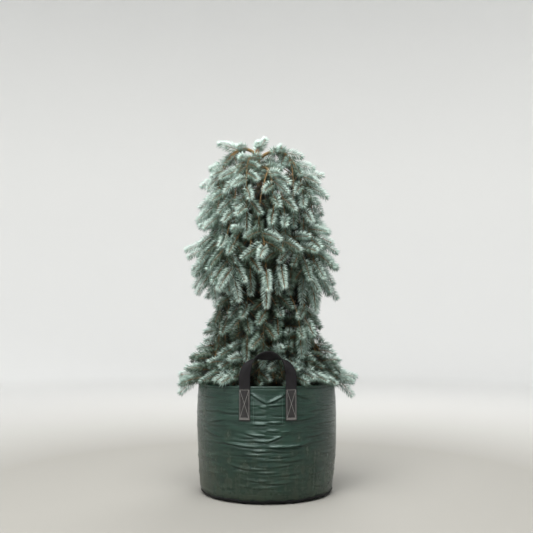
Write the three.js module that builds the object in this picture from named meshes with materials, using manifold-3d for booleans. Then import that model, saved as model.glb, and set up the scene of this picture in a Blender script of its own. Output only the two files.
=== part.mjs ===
// A weeping blue spruce in a woven planter bag: the leader climbs out of the potting mix, its boughs
// arch over near the top and hang as long strands of needled shoots down to the bag's rim.
// Units are millimetres and +Z is up. The origin is the centre of the bag's flat underside.
// The front is -Y, and one carrying handle stands at the front and one at the back.

import * as THREE from 'three';
import { mergeVertices } from 'three/addons/utils/BufferGeometryUtils.js';
import Module from 'manifold-3d';

const wasm = await Module();
wasm.setup();

// Driving dimensions of the bag
const bagHeight = 421;
const bellyRadius = 270;
const rimRadius = 264;
const footRadius = 256;
const cornerRadius = 30;
const wallThickness = 3;
const hemDepth = 24;
const hemStep = 1.2;
const mixLevel = 382;
const roundSides = 36;

// Driving dimensions of the handles. patchLength is sewn to the wall, shoulderRise is how far both
// legs go on straight over the rim, and archLean is how far the webbing tips at the arch's crown.
const webbingWidth = 45;
const webbingThickness = 3;
const handleHalfSpan = 84;
const patchLength = 122;
const archRise = 127;
const shoulderRise = 44;
const archLean = THREE.MathUtils.degToRad(44);

// Driving dimensions of the trunk
const trunkTop = 1334;
const trunkLean = -36;
const trunkFootRadius = 19;
const trunkTipRadius = 8.5;
const flareRadius = 8;
const flareHeight = 26;

// Driving dimensions of the boughs and of the strands that hang from them
const boughRadius = 8.5;
const strandRadius = 7;
const strandTipRadius = 5;

// Driving dimensions of the shoots: they leave the strand at shootAngle, droop a little, and fan out
// on its outer side. The first and last leave it at these shares of the limb.
const shootWidth = 72;
const shootAngle = THREE.MathUtils.degToRad(54);
const shootDroop = 0.26;
const shootFan = THREE.MathUtils.degToRad(130);
const goldenShare = 0.618;
const firstShoot = 0.34;
const lastShoot = 0.97;

// The gap between pieces that meet, and what a shoot keeps clear of other masses, limbs and bag
const touchGap = 0.3;
const spaceMargin = 4;
const limbMargin = 1.6;
const bagMargin = 6;
const handleMargin = 4;

// Each tier of limbs: turn is the first limb's bearing in degrees, seat the height range on the
// trunk, rise how far the arch lifts, reach how far out the strand hangs, tip where its stem ends,
// boughShare the part that is bare bough, swell and sag the curve's shape, shift the tier's lean in X.
const tiers = [
  {
    name: 'upper', count: 8, turn: 190, seat: [1205, 1310], rise: 84, reach: 188, tip: 1056,
    boughShare: 0.2, swell: [0.62, 1.06, 1], sag: 0.25, shoots: 7, shootLength: 146, shift: -14,
  },
  {
    name: 'middle', count: 8, turn: 212, seat: [975, 1070], rise: 50, reach: 208, tip: 848,
    boughShare: 0.26, swell: [0.62, 1.1, 0.96], sag: 0.25, shoots: 7, shootLength: 150, shift: -12,
  },
  {
    name: 'lower', count: 7, turn: 180, seat: [830, 890], rise: 16, reach: 160, tip: 606,
    boughShare: 0, swell: [0.72, 1, 1], sag: 0.25, shoots: 7, shootLength: 138, shift: 0,
  },
  {
    name: 'skirt', count: 8, turn: 180, seat: [628, 690], rise: 16, reach: 186, tip: 456,
    boughShare: 0, swell: [0.7, 0.86, 1], sag: 0.4, shoots: 8, shootLength: 130, shift: 0,
  },
];

// The two skirt limbs that lie over the rim and hang past it, left and right
const overhang = { reach: 268, tip: 440, sag: 0.84 };

// A seeded row of numbers from 0 to 1, the same on every run
function seededNumbers(seed) {
  let state = seed >>> 0;
  return () => {
    state = (Math.imul(state, 1664525) + 1013904223) >>> 0;
    return state / 4294967296;
  };
}

// Geometry into a closed solid, and back
function solidOf(geometry) {
  const bare = geometry.clone();
  bare.deleteAttribute('normal');
  bare.deleteAttribute('uv');
  const merged = mergeVertices(bare, 1e-4);
  const vertProperties = new Float32Array(merged.attributes.position.array);
  const triVerts = new Uint32Array(merged.index.array);
  return new wasm.Manifold(new wasm.Mesh({ numProp: 3, vertProperties, triVerts }));
}

function geometryOf(solid) {
  const mesh = solid.getMesh();
  const positions = [];
  for (let i = 0; i < mesh.numVert; i += 1) {
    const at = i * mesh.numProp;
    positions.push(mesh.vertProperties[at], mesh.vertProperties[at + 1], mesh.vertProperties[at + 2]);
  }
  const geometry = new THREE.BufferGeometry();
  geometry.setAttribute('position', new THREE.Float32BufferAttribute(positions, 3));
  geometry.setIndex(Array.from(mesh.triVerts));
  geometry.computeVertexNormals();
  return geometry;
}

// The one body of a joined solid: loose scraps are dropped and sealed hollows filled
function mainBody(solid) {
  const bodies = solid.decompose().sort((a, b) => b.volume() - a.volume());
  return bodies[0];
}

// A tapering limb along a curve, from a cylinder whose rings are laid on it. side is a direction
// that stays across the curve all the way.
function limbGeometry(curve, from, to, radiusAt, sides, steps, side) {
  const geometry = new THREE.CylinderGeometry(1, 1, 1, sides, steps);
  const position = geometry.attributes.position;
  for (let i = 0; i < position.count; i += 1) {
    const t = from + (to - from) * (position.getY(i) + 0.5);
    const along = curve.getTangent(t);
    const across = side.clone().addScaledVector(along, -side.dot(along)).normalize();
    const third = across.clone().cross(along);
    const point = curve.getPoint(t);
    point.addScaledVector(across, position.getX(i) * radiusAt(t));
    point.addScaledVector(third, position.getZ(i) * radiusAt(t));
    position.setXYZ(i, point.x, point.y, point.z);
  }
  return geometry;
}

// Trunk: a leader with a slight lean at the top and a flare where it leaves the potting mix
const trunkFoot = mixLevel + touchGap;

function trunkAxis(z) {
  const share = Math.max(0, (z - trunkFoot) / (trunkTop - trunkFoot));
  return new THREE.Vector3(trunkLean * share ** 1.5, 0, z);
}

function trunkRadius(z) {
  const share = (z - trunkFoot) / (trunkTop - trunkFoot);
  const flare = flareRadius * Math.exp((trunkFoot - z) / flareHeight);
  return trunkFootRadius + (trunkTipRadius - trunkFootRadius) * share + flare;
}

function trunkGeometry(extra) {
  const sides = 8;
  const steps = 12;
  const geometry = new THREE.CylinderGeometry(1, 1, 1, sides, steps);
  const position = geometry.attributes.position;
  for (let i = 0; i < position.count; i += 1) {
    const share = (position.getY(i) + 0.5) ** 1.4;
    const z = trunkFoot + (trunkTop - trunkFoot) * share;
    const axis = trunkAxis(z);
    const radius = trunkRadius(z) + extra;
    position.setXYZ(i, axis.x - position.getX(i) * radius, position.getZ(i) * radius, z);
  }
  return geometry;
}

// Bag: one lathed shell with a rounded corner at the foot, a belly and a folded hem at the rim
function bagRadius(z) {
  const share = THREE.MathUtils.clamp((z - cornerRadius) / (bagHeight - cornerRadius), 0, 1);
  const straight = footRadius + (rimRadius - footRadius) * share;
  const belly = bellyRadius - (footRadius + rimRadius) / 2;
  return straight + belly * Math.sin(Math.PI * share);
}

function lathe(outline) {
  return new THREE.LatheGeometry(outline, roundSides).rotateX(Math.PI / 2);
}

// A point of the foot's rounded corner, and the whole profile from the axis up to the last height
function cornerPoint(offset, degrees) {
  const angle = THREE.MathUtils.degToRad(degrees);
  const radius = cornerRadius + offset;
  return new THREE.Vector2(
    footRadius - cornerRadius + radius * Math.cos(angle),
    cornerRadius + radius * Math.sin(angle),
  );
}

function bagProfile(inset, cornerDegrees, heights) {
  const foot = [new THREE.Vector2(0, inset), new THREE.Vector2(footRadius - cornerRadius, inset)];
  const corner = cornerDegrees.map((degrees) => cornerPoint(-inset, degrees));
  const wall = heights.map((z) => new THREE.Vector2(bagRadius(z) - inset, z));
  return [...foot, ...corner, ...wall];
}

const innerHeights = [cornerRadius, (cornerRadius + mixLevel) / 2, mixLevel];

function bagGeometry() {
  const hemRadius = rimRadius + hemStep;
  const outside = bagProfile(0, [-60, -30], [cornerRadius, 110, 200, 300, bagHeight - hemDepth]);
  outside.push(new THREE.Vector2(hemRadius, bagHeight - hemDepth));
  outside.push(new THREE.Vector2(hemRadius, bagHeight));
  const inside = bagProfile(wallThickness, [-45], innerHeights);
  inside.push(new THREE.Vector2(rimRadius - wallThickness, bagHeight));
  return lathe([...outside, ...inside.reverse()]);
}

function mixGeometry() {
  const outline = bagProfile(wallThickness + touchGap, [-45], innerHeights);
  outline.push(new THREE.Vector2(0, mixLevel));
  return lathe(outline);
}

// Binding: the taped seam that runs round the foot, just clear of the floor
function bindingGeometry() {
  const thickness = 2.7;
  const outline = [
    cornerPoint(touchGap, -60),
    cornerPoint(touchGap + thickness, -58),
    cornerPoint(touchGap + thickness, -32),
    cornerPoint(touchGap, -30),
  ];
  return lathe([...outline, outline[0].clone()]);
}

// Handle: one length of webbing, sewn flat on the wall at both ends, that stands over the rim in an
// arch whose crown tips forward. It follows the wall's round, seen from above.
const handleOffset = hemStep + touchGap + webbingThickness / 2;

function handlePoint(share) {
  const straight = patchLength + shoulderRise;
  const arcRise = archRise - shoulderRise - webbingWidth * Math.cos(archLean) / 2;
  const arcLength = Math.PI * Math.hypot(handleHalfSpan, arcRise) / Math.SQRT2;
  const along = share * (2 * straight + arcLength);
  const foot = bagHeight - patchLength;
  if (along < straight) {
    return { x: -handleHalfSpan, z: foot + along, turn: 0 };
  }
  if (along > straight + arcLength) {
    return { x: handleHalfSpan, z: foot + 2 * straight + arcLength - along, turn: Math.PI };
  }
  const turn = Math.PI * (along - straight) / arcLength;
  return {
    x: -handleHalfSpan * Math.cos(turn),
    z: bagHeight + shoulderRise + arcRise * Math.sin(turn),
    turn,
  };
}

function handleGeometry(extra) {
  const geometry = new THREE.BoxGeometry(1, 1, 1, 2, 1, 30);
  const position = geometry.attributes.position;
  for (let i = 0; i < position.count; i += 1) {
    const { x, z, turn } = handlePoint(position.getZ(i) + 0.5);
    const wallRadius = Math.max(bagRadius(Math.min(z, bagHeight)), rimRadius) + handleOffset;
    const bearing = Math.asin(x / wallRadius);
    const outward = new THREE.Vector3(Math.sin(bearing), -Math.cos(bearing), 0);
    const round = new THREE.Vector3(Math.cos(bearing), Math.sin(bearing), 0);
    const flat = round.clone().multiplyScalar(Math.cos(turn));
    flat.z = -Math.sin(turn);
    const twist = archLean * Math.sin(turn);
    const across = flat.clone().multiplyScalar(Math.cos(twist)).addScaledVector(outward, -Math.sin(twist));
    const face = outward.clone().multiplyScalar(Math.cos(twist)).addScaledVector(flat, Math.sin(twist));
    const offset = position.getX(i) * (webbingWidth + 2 * extra);
    const bulge = Math.cos(turn) ** 2 * offset ** 2 / (2 * wallRadius);
    const point = outward.clone().multiplyScalar(wallRadius);
    point.z = z;
    point.addScaledVector(across, offset);
    point.addScaledVector(outward, -bulge);
    point.addScaledVector(face, -position.getY(i) * (webbingThickness + 2 * extra));
    position.setXYZ(i, point.x, point.y, point.z);
  }
  return geometry;
}

// Limbs: each is one cubic curve that leaves the trunk, arches over and hangs. Seats climb the
// trunk in steps of three limbs, so that neighbours don't leave it at one height.
function limbOf(tier, index, random) {
  const hangsOver = tier.name === 'skirt' && index % (tier.count / 2) === 0;
  const uneven = hangsOver ? 0 : 1;
  const { reach: fullReach, tip: tipHeight, sag } = hangsOver ? overhang : tier;
  const reach = fullReach * (1 + 0.08 * (random() - 0.5) * uneven);
  const tip = tipHeight - 34 * (random() - 0.5) * uneven;
  const turn = tier.turn + 360 / tier.count * index + 9 * (random() - 0.5) * uneven;
  const bearing = THREE.MathUtils.degToRad(turn);
  const order = ((index * 3) % tier.count) / (tier.count - 1);
  const seatHeight = tier.seat[1] - (tier.seat[1] - tier.seat[0]) * order;
  const seat = trunkAxis(seatHeight);
  const out = new THREE.Vector3(Math.cos(bearing), Math.sin(bearing), 0);
  const place = (share, z) => {
    return new THREE.Vector3(out.x * reach * share + tier.shift, out.y * reach * share, z);
  };
  const curve = new THREE.CubicBezierCurve3(
    seat,
    place(tier.swell[0], seatHeight + tier.rise),
    place(tier.swell[1], seatHeight - (seatHeight - tip) * sag),
    place(tier.swell[2], tip),
  );
  return { tier, curve, across: new THREE.Vector3(-out.y, out.x, 0), name: `${tier.name}_${index + 1}` };
}

const limbNumbers = seededNumbers(20);
const limbs = tiers.flatMap((tier) => {
  return Array.from({ length: tier.count }, (_, index) => limbOf(tier, index, limbNumbers));
});

// The leader's own tuft goes on from the trunk's tip
const leaderHeight = 24;
const leaderTier = { name: 'leader', boughShare: 0, shoots: 5, shootLength: 60 };
const leaderFoot = trunkAxis(trunkTop + touchGap);
const leaderPoints = [0, 1 / 3, 2 / 3, 1].map((share) => {
  return leaderFoot.clone().add(new THREE.Vector3(-share, 0, leaderHeight * share));
});
limbs.push({
  tier: leaderTier,
  curve: new THREE.CubicBezierCurve3(...leaderPoints),
  across: new THREE.Vector3(0, 1, 0),
  name: 'leader',
});

function limbRadius(limb, t) {
  const share = limb.tier.boughShare;
  if (t < share) {
    return boughRadius + (strandRadius - boughRadius) * (t / share);
  }
  return strandRadius + (strandTipRadius - strandRadius) * ((t - share) / (1 - share));
}

// Where a mass's own stem begins on its limb: past the bough's tip, or inside the trunk that cuts it
function stemStart(limb) {
  return limb.tier.boughShare ? limb.tier.boughShare + touchGap / limb.curve.getLength() : 0;
}

// A shoot as a slim three-sided core with spikes: above a bare root, each side of each step rises to
// one needle point. It is one unit long along +Z and one unit from axis to needle point.
function unitShoot(steps) {
  const coreRadius = 0.5;
  const rootRadii = [0.045, 0.13];
  const rootHeight = 0.1;
  const crownHeight = 0.9;
  const sweep = 0.1;
  const twist = Math.PI / 3;
  const positions = [];
  const faces = [];
  const envelope = (t) => Math.sin(Math.PI * (0.2 + 0.66 * t));
  const ringHeight = (k) => (k === 0 ? 0 : rootHeight + (crownHeight - rootHeight) * (k - 1) / steps);
  for (let k = 0; k <= steps + 1; k += 1) {
    const t = ringHeight(k);
    const radius = rootRadii[k] ?? coreRadius * envelope(t);
    for (let corner = 0; corner < 3; corner += 1) {
      const angle = corner * 2 * Math.PI / 3 + Math.max(0, k - 1) * twist;
      positions.push(radius * Math.cos(angle), radius * Math.sin(angle), t);
    }
  }
  for (let k = 0; k <= steps; k += 1) {
    for (let corner = 0; corner < 3; corner += 1) {
      const next = (corner + 1) % 3;
      const low = k * 3;
      const high = low + 3;
      if (k === 0) {
        faces.push(low + corner, low + next, high + next, low + corner, high + next, high + corner);
        continue;
      }
      const t = ringHeight(k + 1) + sweep;
      const angle = (corner + 0.5) * 2 * Math.PI / 3 + (k - 0.5) * twist;
      const point = positions.length / 3;
      positions.push(envelope(t) * Math.cos(angle), envelope(t) * Math.sin(angle), t);
      faces.push(low + corner, low + next, point, low + next, high + next, point);
      faces.push(high + next, high + corner, point, high + corner, low + corner, point);
    }
  }
  const top = positions.length / 3;
  const last = (steps + 1) * 3;
  positions.push(0, 0, 1);
  faces.push(last, last + 1, top, last + 1, last + 2, top, last + 2, last, top);
  faces.push(0, 2, 1);
  const geometry = new THREE.BufferGeometry();
  geometry.setAttribute('position', new THREE.Float32BufferAttribute(positions, 3));
  geometry.setIndex(faces);
  return geometry;
}

const shootGeometry = unitShoot(2);
const shootSolid = solidOf(shootGeometry);

// The place, direction and length of shoot number k on a limb. The last one is the strand's own tip,
// and the others turn about it by the golden share of their fan. Upper and inner shoots are shorter.
function shootFrame(limb, k, random) {
  const { tier, curve } = limb;
  const first = tier === leaderTier ? 0 : firstShoot;
  const t = first + (lastShoot - first) * (k / tier.shoots);
  const root = curve.getPoint(t);
  const along = curve.getTangent(t);
  const isTip = k === tier.shoots;
  const outward = along.clone().cross(limb.across).normalize();
  const sideways = along.clone().cross(outward);
  const spin = shootFan * (2 * ((k * goldenShare) % 1) - 1) + 0.4 * (random() - 0.5);
  const spread = outward.multiplyScalar(Math.cos(spin)).addScaledVector(sideways, Math.sin(spin));
  const angle = isTip ? 0 : shootAngle * (0.9 + 0.2 * random());
  const inward = isTip ? 0 : 0.5 - 0.5 * Math.cos(spin);
  const grown = 0.74 + 0.26 * Math.min(1, t / 0.62);
  const length = tier.shootLength * grown * (1 - 0.35 * inward) * (0.94 + 0.12 * random());
  const directionAt = (fold) => {
    const direction = along.clone().multiplyScalar(Math.cos(angle * fold));
    direction.addScaledVector(spread, Math.sin(angle * fold));
    direction.z -= tier === leaderTier ? 0 : shootDroop;
    return direction.normalize();
  };
  return { root, directionAt, length };
}

// Lays the unit shoot along its direction. A short shoot is slimmer too.
function shootMatrix(root, direction, length) {
  const steep = Math.abs(direction.z) > 0.9;
  const reference = steep ? new THREE.Vector3(1, 0, 0) : new THREE.Vector3(0, 0, 1);
  const across = reference.cross(direction).normalize();
  const third = direction.clone().cross(across);
  const halfWidth = shootWidth / 2 * Math.min(1, 0.35 + 0.65 * length / 110);
  const matrix = new THREE.Matrix4().makeBasis(
    across.multiplyScalar(halfWidth),
    third.multiplyScalar(halfWidth),
    direction.clone().multiplyScalar(length),
  );
  return matrix.setPosition(root);
}

// A mass keeps to its own space: every point of it is nearer its own stem than any other stem
const stemSteps = 14;
const stemPoints = limbs.map((limb) => {
  const start = Math.max(stemStart(limb), 0.12);
  const shares = Array.from({ length: stemSteps + 1 }, (_, i) => start + (1 - start) * i / stemSteps);
  return shares.map((share) => limb.curve.getPoint(share));
});

function distanceToStem(point, index) {
  const points = stemPoints[index];
  const nearest = new THREE.Vector3();
  let best = Infinity;
  for (let i = 0; i + 1 < points.length; i += 1) {
    new THREE.Line3(points[i], points[i + 1]).closestPointToPoint(point, true, nearest);
    best = Math.min(best, nearest.distanceTo(point));
  }
  return best;
}

function staysInSpace(matrix, own) {
  const position = shootGeometry.attributes.position;
  const point = new THREE.Vector3();
  for (let i = 3; i < position.count; i += 1) {
    point.fromBufferAttribute(position, i).applyMatrix4(matrix);
    const home = distanceToStem(point, own);
    for (let other = 0; other < limbs.length; other += 1) {
      if (other !== own && distanceToStem(point, other) < home + spaceMargin) {
        return false;
      }
    }
  }
  return true;
}

// Trunk, boughs, bag and handles, each a little thicker: no shoot may cut these. A bough's foot is
// cut to the trunk's round.
const trunkCutter = solidOf(trunkGeometry(touchGap));

function boughSolid(limb, extra) {
  const radiusAt = (t) => limbRadius(limb, t) + extra;
  const solid = solidOf(limbGeometry(limb.curve, 0, limb.tier.boughShare, radiusAt, 5, 3, limb.across));
  return mainBody(solid.subtract(trunkCutter));
}

// Room for a hand in the handle's loop, from just inside the rim to well in front of the bag
function handRoom() {
  const depth = 60;
  const inside = 24;
  const box = new THREE.BoxGeometry(2 * handleHalfSpan - 20, depth, archRise + 10);
  return box.translate(0, -(rimRadius + depth / 2 - inside), bagHeight + archRise / 2);
}

function bagRoom() {
  const radius = rimRadius + bagMargin;
  const height = bagHeight + limbMargin;
  return new THREE.CylinderGeometry(radius, radius, height, roundSides).rotateX(Math.PI / 2)
    .translate(0, 0, height / 2);
}

const boughLimbs = limbs.filter((limb) => limb.tier.boughShare);
const handleRoom = solidOf(handleGeometry(handleMargin)).add(solidOf(handRoom()));
const keptClear = wasm.Manifold.union([
  solidOf(trunkGeometry(limbMargin)),
  ...boughLimbs.map((limb) => boughSolid(limb, limbMargin)),
  handleRoom,
  handleRoom.rotate([0, 0, 180]),
  solidOf(bagRoom()),
]);

// How much shorter, and how much closer to its stem, a shoot is tried until it fits its space, and
// the most of it that may lie in the rest of its mass, as its root does
const shootTries = [[1, 1], [0.84, 1], [1, 0.62], [0.68, 1], [0.8, 0.62], [0.6, 0.5]];
const mostShared = 0.02;

// One mass of foliage: a three-sided stem with its shoots fused on
function massSolid(limb, own) {
  const random = seededNumbers(700 + own * 31);
  const radiusAt = (t) => limbRadius(limb, t);
  const stem = limbGeometry(limb.curve, stemStart(limb), 1, radiusAt, 3, 5, limb.across);
  let mass = limb.tier.boughShare ? solidOf(stem) : solidOf(stem).subtract(trunkCutter);
  for (let k = 0; k <= limb.tier.shoots; k += 1) {
    const { root, directionAt, length } = shootFrame(limb, k, random);
    for (const [shorter, fold] of shootTries) {
      const matrix = shootMatrix(root, directionAt(fold), length * shorter);
      const shoot = shootSolid.transform(matrix.elements);
      const shared = shoot.intersect(mass).volume() / shoot.volume();
      if (shared < mostShared && staysInSpace(matrix, own) && shoot.intersect(keptClear).isEmpty()) {
        mass = mass.add(shoot);
        break;
      }
    }
  }
  return mainBody(mass);
}

// Materials
const needles = new THREE.MeshStandardMaterial({ color: '#7f9f99', roughness: 0.7, metalness: 0 });
const bark = new THREE.MeshStandardMaterial({ color: '#8a6a45', roughness: 0.9, metalness: 0 });
const wovenGreen = new THREE.MeshStandardMaterial({ color: '#2c4a3c', roughness: 0.42, metalness: 0 });
const blackWebbing = new THREE.MeshStandardMaterial({ color: '#26272a', roughness: 0.8, metalness: 0 });
const blackTape = new THREE.MeshStandardMaterial({ color: '#15181a', roughness: 0.6, metalness: 0 });
const mix = new THREE.MeshStandardMaterial({ color: '#3b2a1e', roughness: 1, metalness: 0 });

function piece(name, geometry, material) {
  const mesh = new THREE.Mesh(geometry, material);
  mesh.name = name;
  return mesh;
}

// The bag with its handles, the back one the front one turned half round
const bag = new THREE.Group();
const handleShape = handleGeometry(0);
const backHandle = piece('handle_back', handleShape, blackWebbing);
backHandle.rotation.z = Math.PI;
bag.add(
  piece('planter_bag', bagGeometry(), wovenGreen),
  piece('bottom_binding', bindingGeometry(), blackTape),
  piece('handle_front', handleShape, blackWebbing),
  backHandle,
  piece('potting_mix', mixGeometry(), mix),
);

// The tree
const tree = new THREE.Group();
tree.add(piece('trunk', trunkGeometry(0), bark));
for (const limb of boughLimbs) {
  tree.add(piece(`bough_${limb.name}`, geometryOf(boughSolid(limb, 0)), bark));
}
limbs.forEach((limb, own) => {
  tree.add(piece(`foliage_${limb.name}`, geometryOf(massSolid(limb, own)), needles));
});

const pottedSpruce = new THREE.Group();
pottedSpruce.add(bag, tree);

export default pottedSpruce;
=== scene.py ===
import math

import bmesh
import bpy
import numpy as np
from mathutils import Matrix, Vector


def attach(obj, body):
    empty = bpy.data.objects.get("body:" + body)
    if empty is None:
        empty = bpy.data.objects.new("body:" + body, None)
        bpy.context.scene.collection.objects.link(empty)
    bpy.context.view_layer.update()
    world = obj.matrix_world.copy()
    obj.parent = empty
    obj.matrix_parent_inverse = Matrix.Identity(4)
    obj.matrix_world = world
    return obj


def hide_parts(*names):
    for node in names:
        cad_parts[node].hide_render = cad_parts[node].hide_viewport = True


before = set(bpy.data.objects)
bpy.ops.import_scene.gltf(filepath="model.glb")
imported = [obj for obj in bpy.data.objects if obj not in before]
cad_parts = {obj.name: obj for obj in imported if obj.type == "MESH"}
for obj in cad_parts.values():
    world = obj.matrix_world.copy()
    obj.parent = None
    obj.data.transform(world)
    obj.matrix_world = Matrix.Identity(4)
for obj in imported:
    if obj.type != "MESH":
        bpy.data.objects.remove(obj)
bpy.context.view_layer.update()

# The photograph's view: a camera held at knee height in front of the bag, and tilted up a little so
# that the crown's top and the bag's foot both stand inside the frame.
camera_distance = 3.15
camera_height = 0.680
camera_pitch = math.radians(3.43)

camera_data = bpy.data.cameras.new("view_camera")
camera_data.lens = 54.0
camera_data.sensor_width = 36.0
camera = bpy.data.objects.new("view_camera", camera_data)
camera.location = (0.0, -camera_distance, camera_height)
camera.rotation_euler = (math.radians(90) + camera_pitch, 0.0, 0.0)
bpy.context.scene.collection.objects.link(camera)
bpy.context.scene.camera = camera
bpy.context.scene.view_settings.view_transform = "Standard"


# Planter bag: woven polyethylene tape with a film coat, cut to a drum, sewn up one side and folded
# over at the rim. The weight of the mix bellies it out, and it buckles between the two handles.
MM = 0.001
bag_height = 421.0
belly_radius = 270.0
rim_radius = 264.0
foot_radius = 256.0
corner_radius = 30.0
wall_thickness = 3.0
hem_depth = 24.0
roll_depth = 9.0
mix_level = 382.0


def bag_radius(z):
    share = np.clip((z - corner_radius) / (bag_height - corner_radius), 0.0, 1.0)
    straight = foot_radius + (rim_radius - foot_radius) * share
    return straight + (belly_radius - (foot_radius + rim_radius) / 2) * np.sin(np.pi * share)


# Each crease of the bag's front: its middle (x across, z up), half length, depth, how far its right
# end stands above its left, and how far it sags in its middle, in millimetres
front_creases = [
    (-29, 380, 38, 5.0, -46, 4),
    (38, 379, 40, 4.8, 38, 4),
    (36, 356, 44, 3.4, 5, 2),
    (-10, 347, 22, 3.4, -6, 1),
    (-24, 326, 34, 1.6, 2, 2),
    (38, 322, 30, 1.4, -2, 2),
    (-22, 288, 32, 4.6, 0, 1),
    (32, 294, 36, 4.8, -3, 1),
    (26, 265, 28, 4.2, -3, 1),
    (78, 262, 34, 2.4, 5, 1),
    (-40, 251, 42, 4.4, -10, 2),
    (34, 238, 34, 4.8, 26, 1),
    (-18, 228, 36, 4.4, -6, 1),
    (-88, 215, 92, 4.0, -14, 5),
    (28, 209, 34, 3.4, 0, 2),
    (96, 213, 92, 4.2, 12, 6),
    (-14, 196, 44, 2.2, 2, 3),
    (-34, 181, 56, 2.0, -4, 4),
    (58, 176, 60, 2.4, 6, 4),
    (16, 164, 70, 1.8, 0, 5),
    (92, 160, 66, 2.2, 8, 4),
    (-88, 134, 74, 2.4, -22, 4),
    (18, 143, 80, 1.8, 2, 6),
    (-6, 120, 66, 2.0, -2, 5),
    (70, 112, 70, 1.6, 6, 5),
    (-34, 92, 80, 1.9, -4, 6),
    (52, 82, 60, 1.6, 2, 5),
    (-14, 64, 70, 1.5, 0, 4),
    (150, 306, 56, 2.0, 14, 3),
    (128, 388, 50, 2.6, -34, 2),
    (-148, 330, 60, 1.8, -6, 4),
    (-222, 248, 50, 3.2, -20, 3),
    (196, 244, 56, 2.0, 6, 4),
    (-196, 296, 46, 2.2, 18, 2),
]
crease_above = 7.0
crease_below = 2.8
crease_relief = 1.35
middle_fold = -3.6
side_fold = 191.0
side_gutter = 199.0
side_fold_height = 112.0
film_creases = 150
golden_turn = 2.399963


def wrapped(angle):
    """An angle in radians, brought to within half a turn of nought."""
    return (angle + math.pi) % (2 * math.pi) - math.pi


def crease(along, above, half, depth, tilt, sag):
    """A fold that overhangs: a slow slope down to its edge, and a sharp drop back under it."""
    along = along / half
    above = above - (tilt * along / 2 - sag * (1 - along ** 2))
    fade = np.clip(1 - along ** 2, 0, None) ** 1.2
    width = np.where(above > 0, crease_above, crease_below)
    ridge = np.exp(-(above / width) ** 2)
    gutter = np.exp(-((above + 2.1 * crease_below) / crease_below) ** 2)
    return crease_relief * depth * fade * (ridge - 0.5 * gutter)


def wall_relief(bearing, z):
    """How far the wall stands out from its plain round, in millimetres. Bearing 0 is the front."""
    relief = np.zeros_like(z)
    for turn, mirror in ((0.0, 1), (math.pi, -1)):
        across = wrapped(bearing - turn) * belly_radius * mirror
        for x, height, half, depth, tilt, sag in front_creases:
            relief += crease(across - x, z - height, half, depth, tilt, sag)
        # The film is folded lengthwise from its packing: once in the middle, and once at the side
        relief += 1.0 * np.exp(-((across - middle_fold) / 3.6) ** 2) * np.clip((z - 20) / 60, 0, 1)
        side_reach = np.exp(-((z - side_fold_height) / 64) ** 4)
        relief += 2.4 * np.exp(-((across - side_fold) / 4.5) ** 2) * side_reach
        relief -= 1.2 * np.exp(-((across - side_gutter) / 4.5) ** 2) * side_reach
    # The wall leans in and out in long waves, and short creases lie all over it, each one's place, length,
    # tilt and depth a different share on from the last one's, so that no two of them line up
    for order, (waves, climb, phase) in enumerate(((3, 0.011, 0.4), (5, -0.017, 2.1), (8, 0.031, 4.4))):
        relief += 1.5 / (order + 1) * np.sin(waves * bearing + climb * z + phase)
    for k in range(film_creases):
        across = wrapped(bearing - (k * golden_turn + 0.8) % (2 * math.pi)) * belly_radius
        height = 46 + 340 * ((k * 0.754878) % 1)
        half = 26 + 54 * ((k * 0.569840) % 1)
        tilt = 22 * ((k * 0.414214) % 1 - 0.5)
        depth = 0.6 + 1.2 * ((k * 0.324718) % 1)
        relief += crease(across, z - height, half, depth, tilt, 4)
    return relief


def kept_relief(bearing, z):
    """The relief as far as it goes: the rolled rim and the foot hold the film round."""
    below_rim = np.clip((bag_height - roll_depth - z) / 12, 0, 1)
    above_foot = np.clip((z - 4) / 36, 0, 1)
    return wall_relief(bearing, z) * below_rim * above_foot


def ring_profile(points, steps):
    """A bmesh spun full round Z from a profile of (radius, height) points in millimetres."""
    shape = bmesh.new()
    verts = [shape.verts.new((r * MM, 0.0, z * MM)) for r, z in points]
    edges = [shape.edges.new(pair) for pair in zip(verts, verts[1:])]
    bmesh.ops.spin(
        shape, geom=verts + edges, cent=(0, 0, 0), axis=(0, 0, 1), dvec=(0, 0, 0),
        angle=2 * math.pi, steps=steps, use_merge=True, use_duplicate=False,
    )
    bmesh.ops.remove_doubles(shape, verts=shape.verts, dist=1e-6)
    return shape


def smooth_object(name, mesh, material):
    """A mesh as an object in the scene, smooth all over and of one material."""
    mesh.polygons.foreach_set("use_smooth", np.ones(len(mesh.polygons), bool))
    mesh.materials.append(material)
    made = bpy.data.objects.new(name, mesh)
    bpy.context.scene.collection.objects.link(made)
    return made


def part_piece(name, mesh, material, nodes):
    """A mesh as a piece that rides on the part and stands for its CAD nodes."""
    piece = smooth_object(name, mesh, material)
    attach(piece, "root")
    if nodes:
        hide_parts(*nodes)
    return piece


def finished_piece(name, shape, material, slot, *nodes):
    """A bmesh as a piece, with its faces turned outwards."""
    bmesh.ops.recalc_face_normals(shape, faces=shape.faces)
    mesh = bpy.data.meshes.new(name)
    shape.to_mesh(mesh)
    shape.free()
    return part_piece(name, mesh, material, nodes)


def new_material(name, roughness=0.5):
    """A material with its node tree and its shader."""
    material = bpy.data.materials.new(name)
    material.use_nodes = True
    shader = material.node_tree.nodes["Principled BSDF"]
    shader.inputs["Roughness"].default_value = roughness
    return material, material.node_tree, shader


def feed(tree, socket, value):
    """Sets a socket to a number or a colour, or links it to the socket that is given."""
    if isinstance(value, bpy.types.NodeSocket):
        tree.links.new(value, socket)
    else:
        socket.default_value = (*value, 1.0) if isinstance(value, tuple) else value


def object_place(tree):
    return tree.nodes.new("ShaderNodeTexCoord").outputs["Object"]


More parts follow.
